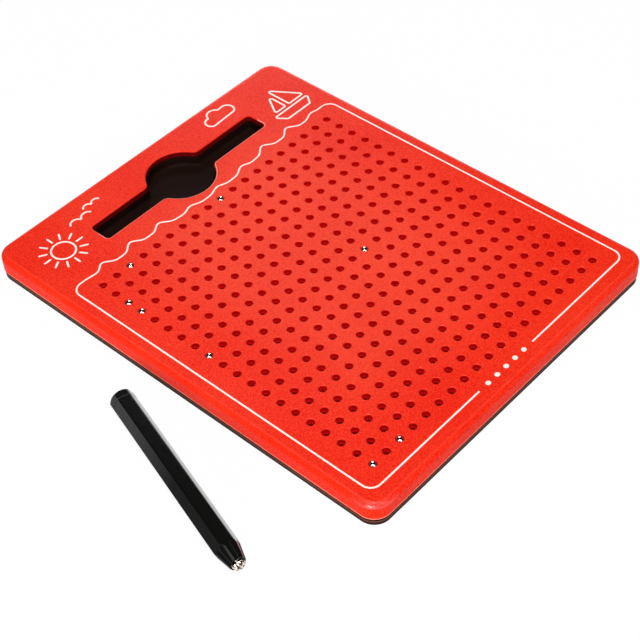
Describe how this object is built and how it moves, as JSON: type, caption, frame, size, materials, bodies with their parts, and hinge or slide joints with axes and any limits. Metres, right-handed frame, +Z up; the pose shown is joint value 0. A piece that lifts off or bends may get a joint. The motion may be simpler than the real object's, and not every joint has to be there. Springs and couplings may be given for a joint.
{
  "type": "magnetic drawing board",
  "caption": "Flat board of steel balls under a perforated red lid, with a pen tray, and a hexagonal pen with a magnet that lifts the balls into view.",
  "frame": {"origin": "middle of the board's underside", "axes": "+X across the board, +Y along the board towards the pen tray, +Z up out of the lid"},
  "size_m": [0.2558, 0.249, 0.0144],
  "materials": {
    "lid_red": "moulded plastic with a fine leathery grain",
    "plate_red": "plain moulded plastic",
    "soft_mat": "soft matt sheet",
    "base_black": "moulded plastic with a fine grain",
    "screw_steel": "zinc plated",
    "ball_steel": "polished",
    "pen_black": "polished moulded plastic",
    "magnet_nickel": "nickel plated",
    "ink_white": "screen printed ink"
  },
  "bodies": {
    "board": {"top_cover": "lid_red", "bead_plate": "plate_red", "retaining_mat": "soft_mat", "bottom_cover": "base_black", "cover_screws": "screw_steel"},
    "raised_ball_r01_c03": {"raised_ball_r01_c03": "ball_steel"},
    "raised_ball_r01_c10": {"raised_ball_r01_c10": "ball_steel"},
    "raised_ball_r03_c01": {"raised_ball_r03_c01": "ball_steel"},
    "raised_ball_r04_c01": {"raised_ball_r04_c01": "ball_steel"},
    "raised_ball_r09_c01": {"raised_ball_r09_c01": "ball_steel"},
    "raised_ball_r10_c12": {"raised_ball_r10_c12": "ball_steel"},
    "raised_ball_r20_c01": {"raised_ball_r20_c01": "ball_steel"},
    "raised_ball_r20_c03": {"raised_ball_r20_c03": "ball_steel"},
    "ball_row_01": {"ball_row_01": "ball_steel"},
    "ball_row_02": {"ball_row_02": "ball_steel"},
    "ball_row_03": {"ball_row_03": "ball_steel"},
    "ball_row_04": {"ball_row_04": "ball_steel"},
    "ball_row_05": {"ball_row_05": "ball_steel"},
    "ball_row_06": {"ball_row_06": "ball_steel"},
    "ball_row_07": {"ball_row_07": "ball_steel"},
    "ball_row_08": {"ball_row_08": "ball_steel"},
    "ball_row_09": {"ball_row_09": "ball_steel"},
    "ball_row_10": {"ball_row_10": "ball_steel"},
    "ball_row_11": {"ball_row_11": "ball_steel"},
    "ball_row_12": {"ball_row_12": "ball_steel"},
    "ball_row_13": {"ball_row_13": "ball_steel"},
    "ball_row_14": {"ball_row_14": "ball_steel"},
    "ball_row_15": {"ball_row_15": "ball_steel"},
    "ball_row_16": {"ball_row_16": "ball_steel"},
    "ball_row_17": {"ball_row_17": "ball_steel"},
    "ball_row_18": {"ball_row_18": "ball_steel"},
    "ball_row_19": {"ball_row_19": "ball_steel"},
    "ball_row_20": {"ball_row_20": "ball_steel"},
    "pen": {"pen_barrel": "pen_black", "pen_end_cap": "pen_black", "pen_magnet": "magnet_nickel"}
  },
  "joints": [
    {"name": "press_ball_r01_c03", "type": "slide", "parent": "board", "child": "raised_ball_r01_c03", "axis": [0, 0, -1], "range_m": [0, 0.0044], "deforming": ["retaining_mat"]},
    {"name": "press_ball_r01_c10", "type": "slide", "parent": "board", "child": "raised_ball_r01_c10", "axis": [0, 0, -1], "range_m": [0, 0.0044], "deforming": ["retaining_mat"]},
    {"name": "press_ball_r03_c01", "type": "slide", "parent": "board", "child": "raised_ball_r03_c01", "axis": [0, 0, -1], "range_m": [0, 0.0044], "deforming": ["retaining_mat"]},
    {"name": "press_ball_r04_c01", "type": "slide", "parent": "board", "child": "raised_ball_r04_c01", "axis": [0, 0, -1], "range_m": [0, 0.0044], "deforming": ["retaining_mat"]},
    {"name": "press_ball_r09_c01", "type": "slide", "parent": "board", "child": "raised_ball_r09_c01", "axis": [0, 0, -1], "range_m": [0, 0.0044], "deforming": ["retaining_mat"]},
    {"name": "press_ball_r10_c12", "type": "slide", "parent": "board", "child": "raised_ball_r10_c12", "axis": [0, 0, -1], "range_m": [0, 0.0044], "deforming": ["retaining_mat"]},
    {"name": "press_ball_r20_c01", "type": "slide", "parent": "board", "child": "raised_ball_r20_c01", "axis": [0, 0, -1], "range_m": [0, 0.0044], "deforming": ["retaining_mat"]},
    {"name": "press_ball_r20_c03", "type": "slide", "parent": "board", "child": "raised_ball_r20_c03", "axis": [0, 0, -1], "range_m": [0, 0.0044], "deforming": ["retaining_mat"]},
    {"name": "lift_row_01", "type": "slide", "parent": "board", "child": "ball_row_01", "axis": [0, 0, 1], "range_m": [0, 0.0044], "deforming": ["retaining_mat"]},
    {"name": "lift_row_02", "type": "slide", "parent": "board", "child": "ball_row_02", "axis": [0, 0, 1], "range_m": [0, 0.0044], "deforming": ["retaining_mat"]},
    {"name": "lift_row_03", "type": "slide", "parent": "board", "child": "ball_row_03", "axis": [0, 0, 1], "range_m": [0, 0.0044], "deforming": ["retaining_mat"]},
    {"name": "lift_row_04", "type": "slide", "parent": "board", "child": "ball_row_04", "axis": [0, 0, 1], "range_m": [0, 0.0044], "deforming": ["retaining_mat"]},
    {"name": "lift_row_05", "type": "slide", "parent": "board", "child": "ball_row_05", "axis": [0, 0, 1], "range_m": [0, 0.0044], "deforming": ["retaining_mat"]},
    {"name": "lift_row_06", "type": "slide", "parent": "board", "child": "ball_row_06", "axis": [0, 0, 1], "range_m": [0, 0.0044], "deforming": ["retaining_mat"]},
    {"name": "lift_row_07", "type": "slide", "parent": "board", "child": "ball_row_07", "axis": [0, 0, 1], "range_m": [0, 0.0044], "deforming": ["retaining_mat"]},
    {"name": "lift_row_08", "type": "slide", "parent": "board", "child": "ball_row_08", "axis": [0, 0, 1], "range_m": [0, 0.0044], "deforming": ["retaining_mat"]},
    {"name": "lift_row_09", "type": "slide", "parent": "board", "child": "ball_row_09", "axis": [0, 0, 1], "range_m": [0, 0.0044], "deforming": ["retaining_mat"]},
    {"name": "lift_row_10", "type": "slide", "parent": "board", "child": "ball_row_10", "axis": [0, 0, 1], "range_m": [0, 0.0044], "deforming": ["retaining_mat"]},
    {"name": "lift_row_11", "type": "slide", "parent": "board", "child": "ball_row_11", "axis": [0, 0, 1], "range_m": [0, 0.0044], "deforming": ["retaining_mat"]},
    {"name": "lift_row_12", "type": "slide", "parent": "board", "child": "ball_row_12", "axis": [0, 0, 1], "range_m": [0, 0.0044], "deforming": ["retaining_mat"]},
    {"name": "lift_row_13", "type": "slide", "parent": "board", "child": "ball_row_13", "axis": [0, 0, 1], "range_m": [0, 0.0044], "deforming": ["retaining_mat"]},
    {"name": "lift_row_14", "type": "slide", "parent": "board", "child": "ball_row_14", "axis": [0, 0, 1], "range_m": [0, 0.0044], "deforming": ["retaining_mat"]},
    {"name": "lift_row_15", "type": "slide", "parent": "board", "child": "ball_row_15", "axis": [0, 0, 1], "range_m": [0, 0.0044], "deforming": ["retaining_mat"]},
    {"name": "lift_row_16", "type": "slide", "parent": "board", "child": "ball_row_16", "axis": [0, 0, 1], "range_m": [0, 0.0044], "deforming": ["retaining_mat"]},
    {"name": "lift_row_17", "type": "slide", "parent": "board", "child": "ball_row_17", "axis": [0, 0, 1], "range_m": [0, 0.0044], "deforming": ["retaining_mat"]},
    {"name": "lift_row_18", "type": "slide", "parent": "board", "child": "ball_row_18", "axis": [0, 0, 1], "range_m": [0, 0.0044], "deforming": ["retaining_mat"]},
    {"name": "lift_row_19", "type": "slide", "parent": "board", "child": "ball_row_19", "axis": [0, 0, 1], "range_m": [0, 0.0044], "deforming": ["retaining_mat"]},
    {"name": "lift_row_20", "type": "slide", "parent": "board", "child": "ball_row_20", "axis": [0, 0, 1], "range_m": [0, 0.0044], "deforming": ["retaining_mat"]},
    {"name": "pen_lift", "type": "slide", "parent": "board", "child": "pen", "axis": [0, 0, 1], "range_m": [0, 0.06]}
  ]
}
